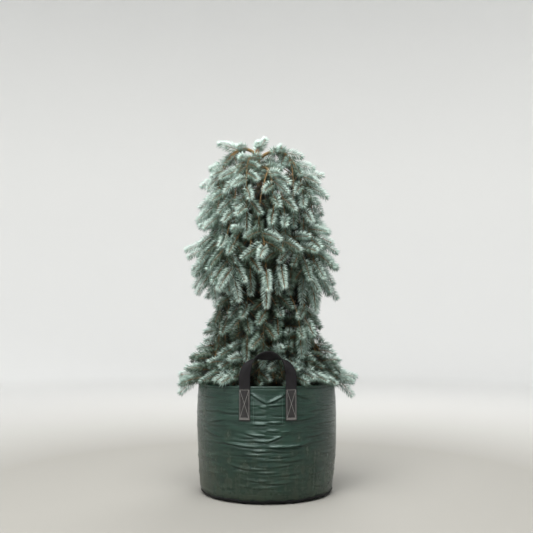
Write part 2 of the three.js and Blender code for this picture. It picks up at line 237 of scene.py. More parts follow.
def scaled_place(tree, vector, scale):
    """A place stretched along its axes, so that the pattern that reads it is drawn out."""
    mapping = tree.nodes.new("ShaderNodeMapping")
    mapping.inputs["Scale"].default_value = scale
    tree.links.new(vector, mapping.inputs["Vector"])
    return mapping.outputs["Vector"]


def axis_of(tree, vector, *axes):
    """One part of a vector for each axis asked for."""
    split = tree.nodes.new("ShaderNodeSeparateXYZ")
    tree.links.new(vector, split.inputs[0])
    return [split.outputs[axis] for axis in axes]


def noise_node(tree, vector, scale, detail=3.0, roughness=0.55):
    noise = tree.nodes.new("ShaderNodeTexNoise")
    noise.inputs["Scale"].default_value = scale
    noise.inputs["Detail"].default_value = detail
    noise.inputs["Roughness"].default_value = roughness
    tree.links.new(vector, noise.inputs["Vector"])
    return noise.outputs["Fac"]


def ramp_node(tree, value, stops):
    ramp = tree.nodes.new("ShaderNodeValToRGB")
    while len(ramp.color_ramp.elements) < len(stops):
        ramp.color_ramp.elements.new(0.5)
    for element, (place, colour) in zip(ramp.color_ramp.elements, stops):
        element.position = place
        element.color = (*colour, 1.0)
    tree.links.new(value, ramp.inputs["Fac"])
    return ramp.outputs["Color"]


def math_node(tree, operation, first, second):
    node = tree.nodes.new("ShaderNodeMath")
    node.operation = operation
    feed(tree, node.inputs[0], first)
    feed(tree, node.inputs[1], second)
    return node.outputs[0]


def mix_colour(tree, share, first, second):
    mix = tree.nodes.new("ShaderNodeMix")
    mix.data_type = "RGBA"
    for number, value in ((0, share), (6, first), (7, second)):
        feed(tree, mix.inputs[number], value)
    return mix.outputs[2]


def linear(red, green, blue):
    """A colour as it is seen, 0 to 255, as the linear colour that a material takes."""
    return tuple(
        (c / 12.92 if c <= 0.04045 else ((c + 0.055) / 1.055) ** 2.4)
        for c in (red / 255, green / 255, blue / 255)
    )


def weave_group():
    """Flat tapes that cross over and under: a height, and a mask of each second tape. It reads metres
    round the piece (X) and along it (Y), each of them times half a turn over the tape's pitch."""
    tree = bpy.data.node_groups.new("tape_weave", "ShaderNodeTree")
    tree.interface.new_socket(name="Vector", in_out="INPUT", socket_type="NodeSocketVector")
    for name, way in (("Round", "INPUT"), ("Up", "INPUT"), ("Height", "OUTPUT"), ("Tape", "OUTPUT")):
        tree.interface.new_socket(name=name, in_out=way, socket_type="NodeSocketFloat")
    given = tree.nodes.new("NodeGroupInput")
    out = tree.nodes.new("NodeGroupOutput")
    round_place, up_place = axis_of(tree, given.outputs["Vector"], "X", "Y")
    across = math_node(tree, "MULTIPLY", round_place, given.outputs["Round"])
    up = math_node(tree, "MULTIPLY", up_place, given.outputs["Up"])
    wave_across = math_node(tree, "SINE", across, 0.0)
    wave_up = math_node(tree, "SINE", up, 0.0)
    crossing = math_node(tree, "MULTIPLY", wave_across, wave_up)
    rib = math_node(tree, "ABSOLUTE", wave_across, 0.0)
    height = math_node(tree, "MULTIPLY_ADD", crossing, 0.5)
    tree.links.new(rib, height.node.inputs[2])
    tree.links.new(height, out.inputs["Height"])
    tree.links.new(crossing, out.inputs["Tape"])
    return tree


tape_weave = weave_group()


def laid_weave(tree, round_pitch, up_pitch):
    """The weave laid over a piece by its own UVs, and those UVs."""
    unrolled = tree.nodes.new("ShaderNodeUVMap")
    unrolled.uv_map = "unrolled"
    weave = tree.nodes.new("ShaderNodeGroup")
    weave.node_tree = tape_weave
    weave.inputs["Round"].default_value = math.pi / round_pitch
    weave.inputs["Up"].default_value = math.pi / up_pitch
    tree.links.new(unrolled.outputs["UV"], weave.inputs["Vector"])
    return weave.outputs, unrolled.outputs["UV"]


def map_range(tree, value, low, high, to_low=0.0, to_high=1.0):
    node = tree.nodes.new("ShaderNodeMapRange")
    for name, number in (("From Min", low), ("From Max", high), ("To Min", to_low), ("To Max", to_high)):
        node.inputs[name].default_value = number
    tree.links.new(value, node.inputs["Value"])
    return node.outputs["Result"]


def bump_node(tree, height, strength, distance, normal=None):
    bump = tree.nodes.new("ShaderNodeBump")
    bump.inputs["Strength"].default_value = strength
    bump.inputs["Distance"].default_value = distance
    tree.links.new(height, bump.inputs["Height"])
    if normal:
        tree.links.new(normal, bump.inputs["Normal"])
    return bump.outputs["Normal"]


def woven_green():
    """Green film over woven tape: the weave shows through, with a painted sheen of paler green on each
    second tape and along fine level wrinkles, and dust lies thin on the lower wall.
    """
    material, tree, shader = new_material("woven_green")
    place = object_place(tree)
    weave, unrolled = laid_weave(tree, 0.0040, 0.0034)
    level = scaled_place(tree, unrolled, (7.0, 60.0, 1.0))
    wrinkle_sheen = noise_node(tree, level, 1.0, 6.0, 0.62)
    upright = scaled_place(tree, unrolled, (30.0, 14.0, 1.0))
    runs = noise_node(tree, upright, 1.0, 5.0, 0.6)
    patches = noise_node(tree, place, 6.0, 4.0)
    dust = noise_node(tree, place, 26.0, 9.0, 0.72)
    sideways, height = axis_of(tree, place, "X", "Z")
    green = ramp_node(tree, patches, [
        (0.30, linear(3, 24, 17)), (0.52, linear(8, 29, 21)), (0.72, linear(17, 39, 29)),
    ])
    # Painted sheen: a paler green laid along the fine level wrinkles, where light would catch them
    sheen_streaked = mix_colour(tree, map_range(tree, wrinkle_sheen, 0.42, 0.78, 0.0, 0.5),
                          green, linear(38, 62, 51))
    # Painted sheen: each second tape of the weave is a paler green
    tape_sheen = map_range(tree, weave["Tape"], -1.0, 1.0, 0.0, 0.14)
    woven = mix_colour(tree, tape_sheen, sheen_streaked, linear(62, 88, 76))
    low = map_range(tree, height, 0.30, 0.0, 0.0, 0.20)
    settled = math_node(tree, "ADD", math_node(tree, "MULTIPLY", dust, runs), low)
    one_side = map_range(tree, sideways, -0.18, -0.27, 0.0, 0.16)
    settled = math_node(tree, "ADD", settled, one_side)
    dusted = map_range(tree, settled, 0.30, 0.70, 0.0, 0.45)
    colour = mix_colour(tree, dusted, woven, linear(84, 79, 62))
    tree.links.new(colour, shader.inputs["Base Color"])
    tree.links.new(map_range(tree, dusted, 0.0, 0.4, 0.22, 0.4), shader.inputs["Roughness"])
    shader.inputs["Specular IOR Level"].default_value = 0.46
    shader.inputs["Specular Tint"].default_value = (0.82, 1.0, 0.95, 1.0)
    crumple = noise_node(tree, place, 44.0, 4.0)
    normal = bump_node(tree, weave["Height"], 0.5, 0.0006)
    normal = bump_node(tree, wrinkle_sheen, 0.9, 0.0045, normal)
    tree.links.new(bump_node(tree, crumple, 0.35, 0.003, normal), shader.inputs["Normal"])
    return material


bag_green = woven_green()
round_steps = 420
wall_steps = 190


def corner_point(inset, degrees):
    angle = math.radians(degrees)
    radius = corner_radius - inset
    return foot_radius - corner_radius + radius * math.cos(angle), corner_radius + radius * math.sin(angle)


hem_foot = bag_height - hem_depth
roll_foot = bag_height - roll_depth
outer_heights = [corner_radius + (hem_foot - corner_radius) * i / wall_steps for i in range(wall_steps + 1)]
hem_radius = rim_radius + 1.2
hem_profile = [(hem_radius - 0.2, hem_foot + 0.8)]
hem_profile += [(hem_radius, hem_foot + (roll_foot - hem_foot) * i / 6) for i in range(1, 6)]
hem_profile += [
    (hem_radius - 1.6, roll_foot - 0.6),
    (hem_radius - 1.8, roll_foot + 0.8),
    (hem_radius + 0.4, roll_foot + 2.4),
    (hem_radius + 0.9, bag_height - 3.6),
    (hem_radius + 0.2, bag_height - 1.4),
    (hem_radius - 1.6, bag_height),
    (rim_radius - wall_thickness, bag_height - 1.8),
    (rim_radius - wall_thickness - 0.4, roll_foot),
]
shell_profile = [(0.0, 0.6), (110.0, 0.3), (foot_radius - corner_radius, 0.0)]
shell_profile += [corner_point(0, degrees) for degrees in (-75, -60, -45, -30, -15)]
shell_profile += [(float(bag_radius(z)), z) for z in outer_heights]
shell_profile += hem_profile
shell_profile += [(float(bag_radius(z)) - wall_thickness, z) for z in (hem_foot, mix_level - 20, 200, 30)]
shell_profile += [corner_point(wall_thickness, -45), (foot_radius - corner_radius, wall_thickness)]
shell_profile += [(0.0, wall_thickness + 0.2)]
shell = ring_profile(shell_profile, round_steps)
rim_wave = 1.5
places = np.array([vert.co for vert in shell.verts]) / MM
radii = np.hypot(places[:, 0], places[:, 1])
bearings = np.arctan2(places[:, 0], -places[:, 1])
heights = places[:, 2]
relief = kept_relief(bearings, heights) * (radii > foot_radius - corner_radius + 1)
scale = (radii + relief) / np.maximum(radii, 1)


def rim_lift(bearing, z):
    return rim_wave * np.cos(4 * bearing) * np.clip((z - 300) / (bag_height - 300), 0, 1)


for vert, (x, y, z), share, lift in zip(shell.verts, places, scale, rim_lift(bearings, heights)):
    vert.co = Vector((x * share, y * share, z + lift)) * MM


def unroll(shape, radius):
    """UVs in metres: round the bag along X, and up along Y."""
    layer = shape.loops.layers.uv.new("unrolled")
    for face in shape.faces:
        middle = face.calc_center_median()
        face_bearing = math.atan2(middle.x, -middle.y)
        for loop in face.loops:
            corner = loop.vert.co
            bearing = math.atan2(corner.x, -corner.y)
            bearing += 2 * math.pi * round((face_bearing - bearing) / (2 * math.pi))
            loop[layer].uv = (bearing * radius * MM, corner.z)


unroll(shell, belly_radius)
finished_piece("woven_bag", shell, bag_green, "woven_bag", "planter_bag")


# Bottom binding: black tape folded over the cut edges where the wall's film meets the floor disc, and
# sewn through. It rolls in and out as the bag's weight squashes it.
def tape_black(name, colour, roughness, pitch):
    """Ribbed black tape or webbing: fine cross ribs, with a painted highlight of greyer colour on their
    tops.
    """
    material, tree, shader = new_material(name, roughness)
    weave, _ = laid_weave(tree, pitch, pitch * 0.7)
    worn = noise_node(tree, object_place(tree), 46.0, 5.0, 0.65)
    tint = ramp_node(tree, worn, [
        (0.30, tuple(c * 0.55 for c in colour)), (0.55, colour), (0.78, tuple(c * 1.8 for c in colour)),
    ])
    # Painted highlight: the tops of the ribs are paler, as if lit
    lit = map_range(tree, weave["Height"], 0.0, 1.0, 0.0, 0.22)
    rib_highlighted = mix_colour(tree, lit, tint, tuple(c * 2.4 for c in colour))
    tree.links.new(rib_highlighted, shader.inputs["Base Color"])
    shader.inputs["Specular IOR Level"].default_value = 0.2
    tree.links.new(bump_node(tree, weave["Height"], 0.9, 0.0007), shader.inputs["Normal"])
    return material, rib_highlighted


binding_black, _ = tape_black("binding_black", linear(17, 18, 19), 0.5, 0.0022)
binding_round = [corner_point(-proud, degrees) for proud, degrees in (
    (0.25, -62), (2.6, -60), (3.4, -52), (3.5, -44), (3.0, -36), (1.8, -32), (0.25, -30),
)]
binding = ring_profile(binding_round + binding_round[:1], 300)
unroll(binding, foot_radius)
for vert in binding.verts:
    x, y, z = vert.co / MM
    bearing = math.atan2(x, -y)
    roll = 1.5 * math.sin(9 * bearing + 0.6) + 1.2 * math.sin(23 * bearing) + 0.8 * math.sin(41 * bearing)
    radius = math.hypot(x, y)
    scale = (radius + 0.9 * max(-0.4, roll) * (radius > foot_radius - 14)) / radius
    vert.co = Vector((x * scale, y * scale, max(0.4, z + roll))) * MM
finished_piece("bottom_binding_tape", binding, binding_black, "black_tape", "bottom_binding")


# Handles: two lengths of black polypropylene webbing. Each is sewn flat on the wall at both ends with
# a box and a cross of grey thread, and stands over the rim in an arch that tips forward.
webbing_width = 43.0
webbing_thickness = 3.0
handle_half_span = 84.0
handle_turn = math.radians(1.1)
patch_length = 122.0
patch_height = 110.0
arch_rise = 127.0
shoulder_rise = 30.0
crown_twist = math.radians(140)
crown_drop = 16.0
handle_offset = 1.2 + 0.3 + webbing_thickness / 2
arc_rise = arch_rise - shoulder_rise - crown_drop
straight_length = patch_length + shoulder_rise
arc_length = math.pi * math.hypot(handle_half_span, arc_rise) / math.sqrt(2)
handle_length = 2 * straight_length + arc_length


def handle_centre(along):
    """The middle line of the front handle in millimetres, and how far round its arch it is."""
    foot = bag_height - patch_length
    turn = min(max(math.pi * (along - straight_length) / arc_length, 0.0), math.pi)
    if along < straight_length:
        x, z = -handle_half_span, foot + along
    elif along > straight_length + arc_length:
        x, z = handle_half_span, foot + handle_length - along
    else:
        x = -handle_half_span * math.cos(turn)
        z = bag_height + shoulder_rise + arc_rise * math.sin(turn)
    wall = max(float(bag_radius(min(z, bag_height))), rim_radius) + handle_offset
    bearing = math.asin(x / wall) + handle_turn
    return Vector((wall * math.sin(bearing), -wall * math.cos(bearing), z)), turn, wall


def handle_place(along, offset, lift):
    """A point of the front handle: offset across it, and lift out from its middle, in millimetres.
    The webbing turns over on the way up, so that its under face looks forward at the crown."""
    centre, turn, wall = handle_centre(along)
    tangent = (handle_centre(along + 2)[0] - handle_centre(along - 2)[0]).normalized()
    outward = Vector((centre.x, centre.y, 0)).normalized()
    outward = (outward - tangent * outward.dot(tangent)).normalized()
    convex = outward.cross(tangent)
    twist = crown_twist * math.sin(turn) ** 2.41
    face = outward * math.cos(twist) + convex * math.sin(twist)
    across = tangent.cross(face)
    bulge = math.cos(turn) ** 4 * offset ** 2 / (2 * wall)
    return (centre + across * offset + face * lift - outward * bulge) * MM


half_turn = Matrix.Rotation(math.pi, 3, "Z")


def turned_copy(shape):
    """Adds the same shape on the bag's far side, half a turn round."""
    copied = bmesh.ops.duplicate(shape, geom=shape.verts[:] + shape.edges[:] + shape.faces[:])
    moved = [item for item in copied["geom"] if isinstance(item, bmesh.types.BMVert)]
    bmesh.ops.rotate(shape, cent=(0, 0, 0), matrix=half_turn, verts=moved)


def webbing_strip(back):
    """A grid laid along the handle, whose two ends are turned under."""
    shape = bmesh.new()
    bmesh.ops.create_grid(shape, x_segments=180, y_segments=12, size=0.5)
    layer = shape.loops.layers.uv.new("unrolled")
    for face in shape.faces:
        for loop in face.loops:
            loop[layer].uv = (loop.vert.co.y * webbing_width * MM, loop.vert.co.x * handle_length * MM)
    for vert in shape.verts:
        along, side = (vert.co.x + 0.5) * handle_length, vert.co.y
        ripple = 0.3 * math.sin(along * 0.083 + side * 5)
        vert.co = handle_place(along, side * (webbing_width - 1.0), ripple)
    if back:
        bmesh.ops.rotate(shape, cent=(0, 0, 0), matrix=half_turn, verts=shape.verts)
    return shape


def webbing_material():
    """The webbing's black, with pale dust where it lies sewn on the wall."""
    material, rib_highlighted = tape_black("webbing_black", linear(19, 17, 19), 0.62, 0.0030)
    tree = material.node_tree
    place = object_place(tree)
    (height,) = axis_of(tree, place, "Z")
    sewn = map_range(tree, height, 0.412, 0.408, 0.0, 0.5)
    dust = map_range(tree, noise_node(tree, place, 60.0, 6.0, 0.7), 0.3, 0.7, 0.3, 1.0)
    share = math_node(tree, "MULTIPLY", sewn, dust)
    tree.links.new(mix_colour(tree, share, rib_highlighted, linear(66, 65, 63)),
              tree.nodes["Principled BSDF"].inputs["Base Color"])
    return material


webbing_black = webbing_material()
for node, back in (("handle_front", False), ("handle_back", True)):
    webbing = finished_piece(f"{node}_webbing", webbing_strip(back), webbing_black, "black_webbing", node)
    thickness = webbing.modifiers.new("thickness", "SOLIDIFY")
    thickness.thickness = webbing_thickness * MM
    thickness.offset = 0.0
    soft_edge = webbing.modifiers.new("soft_edge", "BEVEL")
    soft_edge.width = 0.8 * MM
    soft_edge.segments = 2


# Thread: grey lock stitches that hold each end of the webbing, in a box with a cross in it, and a row
# of green ones round the stiffening panel behind the handles. Each stitch is a short bar of thread.
def thread_material(name, dark, pale):
    """Twisted thread, whose fine strands go dark and pale."""
    material, tree, shader = new_material(name, 0.7)
    fibres = noise_node(tree, object_place(tree), 900.0, 2.0)
    tree.links.new(ramp_node(tree, fibres, [(0.3, dark), (0.7, pale)]), shader.inputs["Base Color"])
    return material


def stitch(shape, first, last, outward, thickness):
    """One stitch between two points, a slim rounded bar that stands a little proud of the cloth."""
    along = last - first
    made = bmesh.ops.create_cone(
        shape, cap_ends=True, cap_tris=False, segments=6, radius1=thickness, radius2=thickness, depth=1.0,
    )
    side = along.cross(outward).normalized()
    basis = Matrix((side, outward.normalized(), along)).transposed().to_4x4()
    basis.translation = (first + last) / 2
    bmesh.ops.transform(shape, matrix=basis, verts=made["verts"])


def stitched_line(shape, start, end, pitch, thickness, place_at):
    """Stitches from start to end, each a pair of numbers that place_at turns into a point."""
    span = math.hypot(end[0] - start[0], end[1] - start[1])
    count = max(1, round(span / pitch))
    for k in range(count):
        shares = [(k + part) / count for part in (0.1, 0.9)]
        ends = [(start[0] + (end[0] - start[0]) * s, start[1] + (end[1] - start[1]) * s) for s in shares]
        points = [place_at(*spot) for spot in ends]
        outward = Vector((points[0].x, points[0].y, 0))
        stitch(shape, points[0], points[1], outward, thickness * MM)


def on_webbing(along, offset):
    return handle_place(along, offset, webbing_thickness / 2 + 0.35)


def on_wall(x, z):
    """A point just proud of the bag's creased wall, x round from the middle of its front."""
    bearing = np.array([x / belly_radius])
    height = np.array([z])
    radius = float(bag_radius(z) + kept_relief(bearing, height)[0]) + 0.3
    lifted = z + float(rim_lift(bearing, height)[0])
    return Vector((radius * math.sin(bearing[0]), -radius * math.cos(bearing[0]), lifted)) * MM


threads = bmesh.new()
margin = 4.5
half_stitched = webbing_width / 2 - margin
for mirrored in (False, True):
    foot, near, far = 6.0, 11.0, patch_height
    if mirrored:
        foot, near, far = handle_length - foot, handle_length - near, handle_length - far
    corners = [(near, -half_stitched), (near, half_stitched), (far, half_stitched), (far, -half_stitched)]
    lines = list(zip(corners, corners[1:] + corners[:1]))
    lines += [(corners[0], corners[2]), (corners[1], corners[3])]
    for first, last in lines:
        stitched_line(threads, first, last, 4.4, 0.62, on_webbing)
    for row in (0.0, 2.2):
        along = foot - row if mirrored else foot + row
        ends = [(along, side * (half_stitched + 2)) for side in (-1, 1)]
        stitched_line(threads, *ends, 4.0, 0.9, on_webbing)
turned_copy(threads)
grey_thread = thread_material("thread_grey", linear(104, 102, 99), linear(158, 156, 150))
finished_piece("handle_stitches", threads, grey_thread, "black_webbing")

panel_left, panel_right, panel_foot = -47.0, 58.0, 289.0
panel = bmesh.new()
corners = [
    (panel_left, hem_foot), (panel_left, panel_foot),
    (panel_right, panel_foot), (panel_right, hem_foot),
]
for first, last in zip(corners, corners[1:]):
    stitched_line(panel, first, last, 4.6, 0.5, on_wall)
turned_copy(panel)
green_thread = thread_material("thread_green", linear(34, 56, 46), linear(64, 88, 77))
finished_piece("panel_stitches", panel, green_thread, "woven_bag")


# Potting mix: composted bark and fibre, filled to a hand's breadth below the rim and settled a little
# lower in the middle than at the wall.
def mix_brown(name, dark, pale):
    """Crumbs of bark, damp and rough."""
    material, tree, shader = new_material(name, 0.95)
    crumbs = noise_node(tree, object_place(tree), 70.0, 9.0, 0.7)
    tree.links.new(ramp_node(tree, crumbs, [(0.35, dark), (0.7, pale)]), shader.inputs["Base Color"])
    tree.links.new(bump_node(tree, crumbs, 0.9, 0.003), shader.inputs["Normal"])
    return material


def seeded_numbers(seed):
    """The source's own seeded row of numbers from 0 to 1."""
    state = seed
    while True:
        state = (state * 1664525 + 1013904223) & 0xFFFFFFFF
        yield state / 4294967296


mix_radius = float(bag_radius(mix_level)) - wall_thickness - 0.6
mix_rings = 26
mix_floor = mix_level - 60
mix_profile = [(mix_radius, mix_floor)]
mix_profile += [(mix_radius * (1 - i / mix_rings), mix_level - 4) for i in range(mix_rings + 1)]
mix_heap = ring_profile(mix_profile + [(0.0, mix_floor), mix_profile[0]], 120)
mix_draw = seeded_numbers(41)
for vert in mix_heap.verts:
    x, y, z = vert.co / MM
    if z > mix_floor + 10:
        rough = 3.0 * math.sin(x * 0.071 + 1.0) * math.sin(y * 0.083) + 4.0 * (next(mix_draw) - 0.5)
        vert.co.z = (mix_level - 6 + rough + 5 * math.hypot(x, y) / mix_radius) * MM
finished_piece("potting_mix_fill", mix_heap, mix_brown("mix_brown", linear(34, 26, 20), linear(92, 70, 52)),
               "potting_mix", "potting_mix")

chips = bmesh.new()
chip_draw = seeded_numbers(57)
chip_tries = 420
trunk_clearance = 32
for k in range(chip_tries):
    reach = (mix_radius - 14) * math.sqrt(next(chip_draw))
    bearing = 2 * math.pi * next(chip_draw)
    if reach < trunk_clearance:
        continue
    size = [6 + 14 * next(chip_draw), 4 + 7 * next(chip_draw), 2 + 3 * next(chip_draw)]
    made = bmesh.ops.create_icosphere(chips, subdivisions=1, radius=0.5)
    for vert in made["verts"]:
        vert.co = Vector([c * s * (0.8 + 0.4 * next(chip_draw)) for c, s in zip(vert.co, size)])
    turn = Matrix.Rotation(6.28 * next(chip_draw), 3, "Z") @ Matrix.Rotation(next(chip_draw) - 0.5, 3, "X")
    bmesh.ops.rotate(chips, cent=(0, 0, 0), matrix=turn, verts=made["verts"])
    height = mix_level - 1 + 3 * reach / mix_radius
    bmesh.ops.scale(chips, vec=(MM, MM, MM), verts=made["verts"])
    spot = Vector((reach * math.cos(bearing), reach * math.sin(bearing), height)) * MM
    bmesh.ops.translate(chips, vec=spot, verts=made["verts"])
finished_piece("bark_chips", chips, mix_brown("chip_brown", linear(66, 46, 32), linear(132, 98, 68)),
               "potting_mix")


# Trunk and boughs: the one leader that the tree is trained on, and its main boughs. Grey-brown scaly
# bark, tan where it is young, with the stubs of old needles as rough pegs all over.
trunk_top = 1334.0
trunk_foot = mix_level + 0.3
trunk_lean = -36.0
trunk_foot_radius = 19.0
trunk_tip_radius = 8.5
flare_radius = 8.0
flare_height = 26.0
bough_radius = 8.5
strand_radius = 7.0
strand_tip_radius = 5.0


def trunk_axis(z):
    share = max(0.0, (z - trunk_foot) / (trunk_top - trunk_foot))
    return np.array([trunk_lean * share ** 1.5, 0.0, z])


def trunk_radius(z):
    share = (z - trunk_foot) / (trunk_top - trunk_foot)
    flare = flare_radius * math.exp((trunk_foot - z) / flare_height)
    return trunk_foot_radius + (trunk_tip_radius - trunk_foot_radius) * share + flare


def bark_material(name, furrow, plate, young):
    """Bark scales drawn out along the wood, dark in the furrows between them."""
    material, tree, shader = new_material(name, 0.85)
    place = object_place(tree)
    along_wood = scaled_place(tree, place, (1.0, 1.0, 0.35))
    scales = tree.nodes.new("ShaderNodeTexVoronoi")
    scales.inputs["Scale"].default_value = 150.0
    tree.links.new(along_wood, scales.inputs["Vector"])
    grain = noise_node(tree, along_wood, 320.0, 6.0, 0.7)
    blotches = noise_node(tree, place, 34.0, 3.0)
    base = ramp_node(tree, scales.outputs["Distance"], [(0.1, young), (0.45, plate), (0.8, furrow)])
    mottled = mix_colour(tree, blotches, base, plate)
    colour = mix_colour(tree, map_range(tree, grain, 0.0, 1.0, 0.0, 0.45), mottled, furrow)
    tree.links.new(colour, shader.inputs["Base Color"])
    tree.links.new(bump_node(tree, grain, 0.9, 0.0015), shader.inputs["Normal"])
    return material


def limb_mesh(shape, centres, radii, sides, relief, draw):
    """A tapering limb through its centres, with bark plates that stand out of it, and closed ends."""
    centres = [Vector(c) for c in centres]
    made = bmesh.ops.create_circle(shape, cap_ends=True, cap_tris=False, segments=sides, radius=1.0)
    ring = made["verts"]
    face = ring[0].link_faces[0]
    across = None
    for k, (centre, radius) in enumerate(zip(centres, radii)):
        ahead = centres[min(k + 1, len(centres) - 1)] - centres[max(k - 1, 0)]
        ahead.normalize()
        across = ahead.orthogonal() if across is None else across - ahead * across.dot(ahead)
        across.normalize()
        third = ahead.cross(across)
        if k:
            face = bmesh.ops.extrude_discrete_faces(shape, faces=[face])["faces"][0]
            ring = list(face.verts)
        for corner, vert in enumerate(ring):
            angle = 2 * math.pi * corner / len(ring)
            plate = 1 + relief * (next(draw) - 0.45)
            spot = across * math.cos(angle) * radius * plate + third * math.sin(angle) * radius * plate
            vert.co = (centre + spot) * MM


bark_draw = seeded_numbers(91)
trunk_shape = bmesh.new()
trunk_rings = 190
trunk_length = trunk_top - trunk_foot
trunk_heights = [trunk_foot + trunk_length * (i / trunk_rings) ** 1.15 for i in range(trunk_rings + 1)]
limb_mesh(trunk_shape, [trunk_axis(z) for z in trunk_heights], [trunk_radius(z) for z in trunk_heights],
          20, 0.16, bark_draw)
trunk_bark = bark_material("trunk_bark", linear(70, 52, 38), linear(126, 98, 70), linear(164, 130, 88))
finished_piece("trunk_bark", trunk_shape, trunk_bark, "bark", "trunk")

# The tiers of limbs, as the source has them: each limb's seat on the trunk, how far it rises, reaches
# and hangs, the share of it that is a bough, how it swells on the way, and the length of its shoots
tiers = [
    dict(name="upper", count=8, turn=190, seat=(1205, 1310), rise=84, reach=188, tip=1056,
         bough_share=0.2, swell=(0.62, 1.06, 1), sag=0.25, shoot_length=146, shift=-14),
    dict(name="middle", count=8, turn=212, seat=(975, 1070), rise=50, reach=208, tip=848,
         bough_share=0.26, swell=(0.62, 1.1, 0.96), sag=0.25, shoot_length=150, shift=-12),
    dict(name="lower", count=7, turn=180, seat=(830, 890), rise=16, reach=160, tip=606,
         bough_share=0, swell=(0.72, 1, 1), sag=0.25, shoot_length=138, shift=0),
    dict(name="skirt", count=8, turn=180, seat=(628, 690), rise=16, reach=186, tip=456,
         bough_share=0, swell=(0.7, 0.86, 1), sag=0.4, shoot_length=130, shift=0),
]
overhang = dict(reach=268, tip=440, sag=0.84)
limb_draw = seeded_numbers(20)


def limb_of(tier, index):
    """One limb as a cubic curve that leaves the trunk, arches over and hangs."""
    hangs_over = tier["name"] == "skirt" and index % (tier["count"] // 2) == 0
    uneven = 0 if hangs_over else 1
    shape = overhang if hangs_over else tier
    reach = shape["reach"] * (1 + 0.08 * (next(limb_draw) - 0.5) * uneven)
    tip = shape["tip"] - 34 * (next(limb_draw) - 0.5) * uneven
    turn = tier["turn"] + 360 / tier["count"] * index + 9 * (next(limb_draw) - 0.5) * uneven
    bearing = math.radians(turn)
    order = ((index * 3) % tier["count"]) / (tier["count"] - 1)
    seat_height = tier["seat"][1] - (tier["seat"][1] - tier["seat"][0]) * order
    out = np.array([math.cos(bearing), math.sin(bearing), 0.0])

    def place(share, z):
        return out * reach * share + np.array([tier["shift"], 0.0, z])

    points = [
        trunk_axis(seat_height),
        place(tier["swell"][0], seat_height + tier["rise"]),
        place(tier["swell"][1], seat_height - (seat_height - tip) * shape["sag"]),
        place(tier["swell"][2], tip),
    ]
    across = np.array([-out[1], out[0], 0.0])
    return dict(tier=tier, points=points, across=across, out=out, name=f"{tier['name']}_{index + 1}")


limbs = [limb_of(tier, index) for tier in tiers for index in range(tier["count"])]


def curve_point(points, t):
    a, b, c, d = points
    u = 1 - t
    return a * u ** 3 + b * 3 * u * u * t + c * 3 * u * t * t + d * t ** 3


def curve_tangent(points, t):
    a, b, c, d = points
    u = 1 - t
    direction = (b - a) * 3 * u * u + (c - b) * 6 * u * t + (d - c) * 3 * t * t
    return direction / np.linalg.norm(direction)


def limb_radius(limb, t):
    share = limb["tier"]["bough_share"]
    if t < share:
        return bough_radius + (strand_radius - bough_radius) * (t / share)
    return strand_radius + (strand_tip_radius - strand_radius) * ((t - share) / (1 - share))


bough_bark = bark_material("bough_bark", linear(78, 60, 36), linear(124, 100, 60), linear(168, 138, 84))
bough_start = 0.035
bough_rings = 30
bough_slimness = 0.82
for limb in limbs:
    share = limb["tier"]["bough_share"]
    if not share:
        continue
    bough = bmesh.new()
    shares = [bough_start + (share - bough_start) * i / bough_rings for i in range(bough_rings + 1)]
    limb_mesh(bough, [curve_point(limb["points"], t) for t in shares],
              [limb_radius(limb, t) * bough_slimness for t in shares], 12, 0.18, bark_draw)
    finished_piece(f"bark_{limb['name']}", bough, bough_bark, "bark", f"bough_{limb['name']}")


# Twigs: the hanging strands go on from the boughs, and carry slim side twigs that carry their own.
# They are orange-brown, ridged wood of one or two summers, and each ends in a papery bud.
golden_share = 0.618
shoot_fan = math.radians(130)
rig = np.random.RandomState(305)
shoots = []

# How the shoots of each tier stand on their strands: their angle, how far they droop, their length as
# a share of the source's, and how much older they look. Then how far the tier's finer strands hang
# below their limb, their reach as a share of the limb's, and how far they flare out at their ends.
habits = {
    "upper": dict(angle=54, droop=0.24, length=0.58, tone=-0.1,
                  drop=(-40, 60), reach=(0.88, 1.02), flare=1.08),
    "middle": dict(angle=56, droop=0.20, length=0.70, tone=0.0,
                   drop=(0, 80), reach=(0.98, 1.12), flare=1.0),
    "lower": dict(angle=54, droop=0.16, length=0.60, tone=0.6,
                  drop=(-30, 60), reach=(1.0, 1.2), flare=1.05),
    "skirt": dict(angle=56, droop=-0.08, length=0.68, tone=0.4,
                  drop=(6, 34), reach=(0.88, 0.98), flare=1.16),
}
overhang_radius = 240.0
level_above = 1285.0
young_above = 1250.0
loop_near, loop_far = 236.0, 310.0
loop_side = handle_half_span + 32
loop_top = bag_height + arch_rise + 6
bag_margin = 14


def unit(vector):
    return vector / np.linalg.norm(vector)


def clear_of_bag(point, margin):
    """False where a point would lie in the bag, in a handle's loop or in the webbing."""
    x, y, z = point
    radius = math.hypot(x, y)
    if z < bag_height + 4 and radius < belly_radius + margin:
        return radius < rim_radius - 12 - margin and z > mix_level + 4
    in_loop = abs(x) < loop_side + margin * 0.5 and loop_near - margin * 0.5 < abs(y) < loop_far
    return not (in_loop and z < loop_top and radius > loop_near + 10 - margin)


spacing_shares = np.array([0.3, 0.55, 0.8, 1.0])
clear_shares = (0.3, 0.5, 0.7, 0.85, 1.0)
shoot_tries = ((1.0, 0.0), (0.96, 0.35), (0.96, -0.35), (0.84, 0.6), (0.84, -0.6), (0.74, 0.0), (0.7, 0.4),
               (0.7, -0.4), (0.56, 0.0))
kept_points = np.zeros((0, 3))


